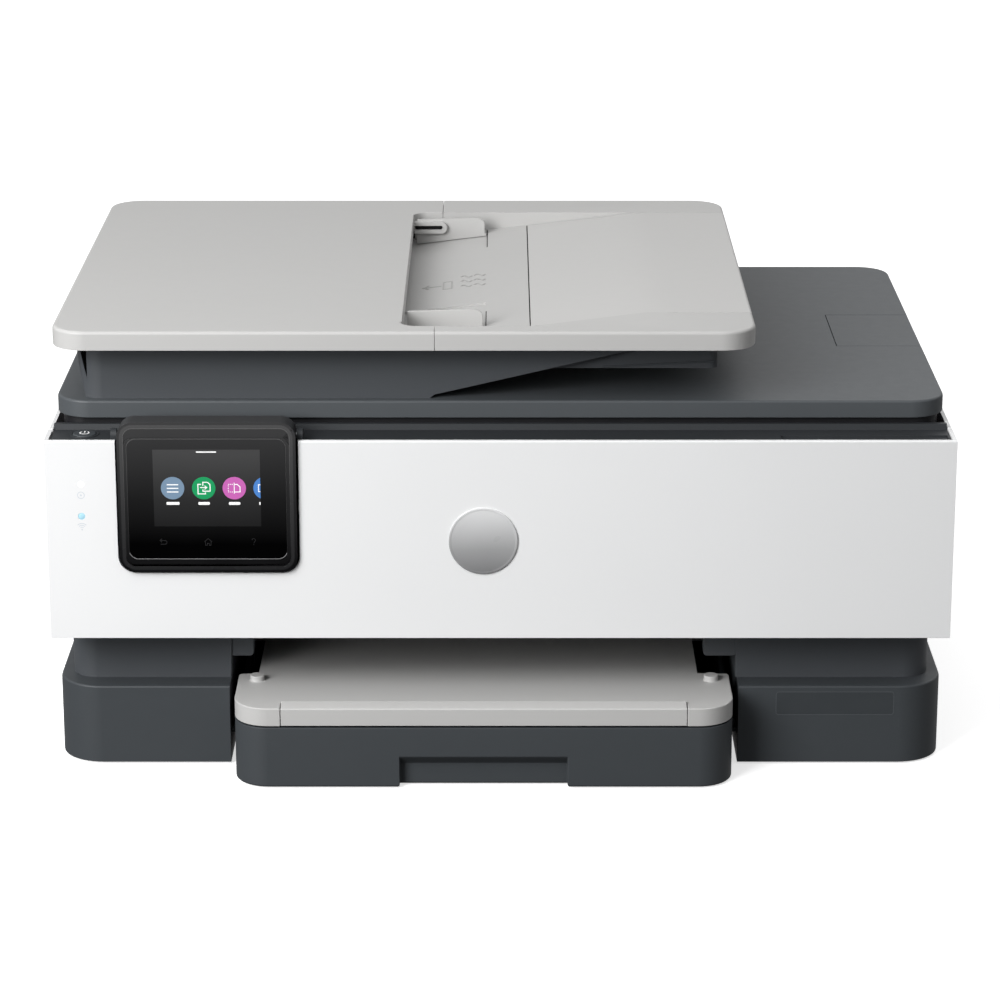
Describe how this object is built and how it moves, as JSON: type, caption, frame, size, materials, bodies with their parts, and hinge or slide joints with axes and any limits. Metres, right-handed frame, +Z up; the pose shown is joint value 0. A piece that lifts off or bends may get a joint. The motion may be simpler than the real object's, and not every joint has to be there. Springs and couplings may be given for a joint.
{
  "type": "inkjet printer",
  "caption": "Office all-in-one inkjet printer with sheet feeder, flatbed scanner, tilting touch panel, drop-down front door, paper tray and pull-out output tray.",
  "frame": {"origin": "centre of the overall footprint, on the surface that the feet stand on", "axes": "+X to the printer's right seen from the front, +Y to its back, +Z up"},
  "size_m": [0.46, 0.342, 0.234],
  "materials": {
    "dark_plastic": "moulded, fine grain",
    "inner_plastic": "moulded",
    "black_plastic": "moulded",
    "white_plastic": "satin gloss",
    "light_plastic": "moulded, fine grain",
    "panel_plastic": "satin black",
    "screen_glass": "gloss black glass",
    "platen_glass": "clear",
    "lid_foam": "soft white sheet",
    "light_pipe": "diffusing",
    "badge_metal": "satin",
    "steel": "plated",
    "clear_film": "clear film",
    "cartridge_plastic": "moulded",
    "rubber": "matt",
    "circuit_board": "solder mask"
  },
  "bodies": {
    "chassis": {"base_frame": "dark_plastic", "feet": "rubber", "body_shell": "dark_plastic", "side_cover_left": "white_plastic", "side_cover_right": "white_plastic", "front_deck": "dark_plastic", "door_hinge_arms": "inner_plastic", "panel_hinge_pin": "steel", "scanner_bed": "black_plastic", "scanner_glass": "platen_glass", "scan_rod": "steel", "lid_hinge_brackets": "inner_plastic", "inner_frame": "inner_plastic", "platen": "black_plastic", "side_plates": "steel", "guide_rod": "steel", "encoder_strip": "clear_film", "carriage_belt": "rubber", "carriage_motor": "steel", "service_station": "inner_plastic", "feed_belt": "rubber", "feed_motor": "steel", "main_board": "circuit_board", "power_supply": "inner_plastic", "power_inlet": "black_plastic", "data_sockets": "steel", "screws": "steel"},
    "power_button": {"power_button": "dark_plastic"},
    "front_door": {"front_door": "white_plastic", "door_badge": "badge_metal", "status_lights": "light_pipe"},
    "control_panel": {"panel_housing": "panel_plastic", "panel_screen": "screen_glass"},
    "scan_bar": {"scan_bar": "black_plastic"},
    "scanner_lid": {"scanner_lid": "dark_plastic", "lid_liner": "inner_plastic", "lid_pad": "lid_foam", "adf_housing": "dark_plastic", "adf_input_tray": "light_plastic"},
    "document_stop": {"document_stop": "dark_plastic"},
    "adf_cover": {"adf_cover": "light_plastic"},
    "adf_tray_extension": {"adf_tray_extension": "light_plastic"},
    "adf_guide_front": {"adf_guide_front": "light_plastic"},
    "adf_guide_rear": {"adf_guide_rear": "light_plastic"},
    "adf_pick_roller": {"adf_pick_roller": "rubber"},
    "input_tray": {"input_tray": "dark_plastic"},
    "tray_guide_left": {"tray_guide_left": "inner_plastic"},
    "tray_guide_right": {"tray_guide_right": "inner_plastic"},
    "tray_length_guide": {"tray_length_guide": "inner_plastic"},
    "output_tray": {"output_tray": "light_plastic"},
    "output_extension": {"output_extension": "light_plastic"},
    "carriage": {"carriage": "inner_plastic", "cartridges": "cartridge_plastic"},
    "drive_pulley": {"drive_pulley": "steel"},
    "idler_pulley": {"idler_pulley": "inner_plastic"},
    "feed_roller": {"feed_roller": "rubber"},
    "exit_roller": {"exit_roller": "rubber"},
    "pick_arm": {"pick_arm": "inner_plastic"},
    "pick_roller": {"pick_roller": "rubber"},
    "rear_cover": {"rear_cover": "dark_plastic"}
  },
  "joints": [
    {"name": "power_button_press", "type": "slide", "parent": "chassis", "child": "power_button", "axis": [0, 0, -1], "range_m": [0, 0.001], "stiffness_N_per_m": 600},
    {"name": "front_door_hinge", "type": "hinge", "parent": "chassis", "child": "front_door", "pos_m": [0, -0.143, 0.081], "axis": [1, 0, 0], "range_deg": [0, 90]},
    {"name": "control_panel_tilt", "type": "hinge", "parent": "chassis", "child": "control_panel", "pos_m": [-0.148, -0.146, 0.1815], "axis": [-1, 0, 0], "range_deg": [0, 45]},
    {"name": "scanner_lid_hinge", "type": "hinge", "parent": "chassis", "child": "scanner_lid", "pos_m": [0, 0.157, 0.181], "axis": [-1, 0, 0], "range_deg": [0, 80]},
    {"name": "scan_bar_slide", "type": "slide", "parent": "chassis", "child": "scan_bar", "axis": [1, 0, 0], "range_m": [0, 0.295]},
    {"name": "document_stop_hinge", "type": "hinge", "parent": "scanner_lid", "child": "document_stop", "pos_m": [0.2259, 0.018, 0.1931], "axis": [0, 1, 0], "range_deg": [0, 100]},
    {"name": "adf_cover_hinge", "type": "hinge", "parent": "scanner_lid", "child": "adf_cover", "pos_m": [-0.2195, 0.014, 0.2215], "axis": [0, -1, 0], "range_deg": [0, 75]},
    {"name": "adf_extension_slide", "type": "slide", "parent": "scanner_lid", "child": "adf_tray_extension", "axis": [1, 0, 0], "range_m": [0, 0.08]},
    {"name": "adf_guide_front_slide", "type": "slide", "parent": "scanner_lid", "child": "adf_guide_front", "axis": [0, 1, 0], "range_m": [0, 0.032]},
    {"name": "adf_guide_rear_slide", "type": "slide", "parent": "scanner_lid", "child": "adf_guide_rear", "axis": [0, 1, 0], "range_m": [-0.032, 0]},
    {"name": "adf_roller_spin", "type": "hinge", "parent": "scanner_lid", "child": "adf_pick_roller", "pos_m": [-0.09, 0.017, 0.208], "axis": [0, 1, 0], "continuous": true},
    {"name": "input_tray_slide", "type": "slide", "parent": "chassis", "child": "input_tray", "axis": [0, -1, 0], "range_m": [0, 0.2]},
    {"name": "tray_guide_left_slide", "type": "slide", "parent": "input_tray", "child": "tray_guide_left", "axis": [1, 0, 0], "range_m": [0, 0.055]},
    {"name": "tray_guide_right_slide", "type": "slide", "parent": "input_tray", "child": "tray_guide_right", "axis": [1, 0, 0], "range_m": [-0.055, 0]},
    {"name": "tray_length_guide_slide", "type": "slide", "parent": "input_tray", "child": "tray_length_guide", "axis": [0, 1, 0], "range_m": [0, 0.09]},
    {"name": "output_tray_tilt", "type": "hinge", "parent": "input_tray", "child": "output_tray", "pos_m": [-0.0086, -0.044, 0.037], "axis": [-1, 0, 0], "range_deg": [0, 6]},
    {"name": "output_extension_slide", "type": "slide", "parent": "output_tray", "child": "output_extension", "axis": [0, -1, 0], "range_m": [0, 0.09]},
    {"name": "carriage_slide", "type": "slide", "parent": "chassis", "child": "carriage", "axis": [1, 0, 0], "range_m": [-0.27, 0]},
    {"name": "drive_pulley_spin", "type": "hinge", "parent": "chassis", "child": "drive_pulley", "pos_m": [0.204, 0.027, 0.112], "axis": [0, 1, 0], "range_deg": [-10, 2600]},
    {"name": "idler_pulley_spin", "type": "hinge", "parent": "chassis", "child": "idler_pulley", "pos_m": [-0.204, 0.027, 0.112], "axis": [0, 1, 0], "range_deg": [-10, 2600]},
    {"name": "feed_roller_spin", "type": "hinge", "parent": "chassis", "child": "feed_roller", "pos_m": [0, 0.02, 0.059], "axis": [1, 0, 0], "continuous": true},
    {"name": "exit_roller_spin", "type": "hinge", "parent": "chassis", "child": "exit_roller", "pos_m": [0, -0.049, 0.059], "axis": [1, 0, 0], "continuous": true},
    {"name": "pick_arm_lift", "type": "hinge", "parent": "chassis", "child": "pick_arm", "pos_m": [-0.008, 0.052, 0.046], "axis": [-1, 0, 0], "range_deg": [0, 45]},
    {"name": "pick_roller_spin", "type": "hinge", "parent": "pick_arm", "child": "pick_roller", "pos_m": [-0.008, 0.092, 0.0445], "axis": [1, 0, 0], "continuous": true},
    {"name": "rear_cover_pull", "type": "slide", "parent": "chassis", "child": "rear_cover", "axis": [0, 1, 0], "range_m": [0, 0.04]}
  ],
  "couplings": [
    {"joint": "adf_guide_rear_slide", "follows": "adf_guide_front_slide", "ratio": -1},
    {"joint": "tray_guide_right_slide", "follows": "tray_guide_left_slide", "ratio": -1},
    {"joint": "drive_pulley_spin", "follows": "carriage_slide", "rad_per_m": -166.67},
    {"joint": "idler_pulley_spin", "follows": "carriage_slide", "rad_per_m": -166.67},
    {"joint": "exit_roller_spin", "follows": "feed_roller_spin", "ratio": 1}
  ]
}
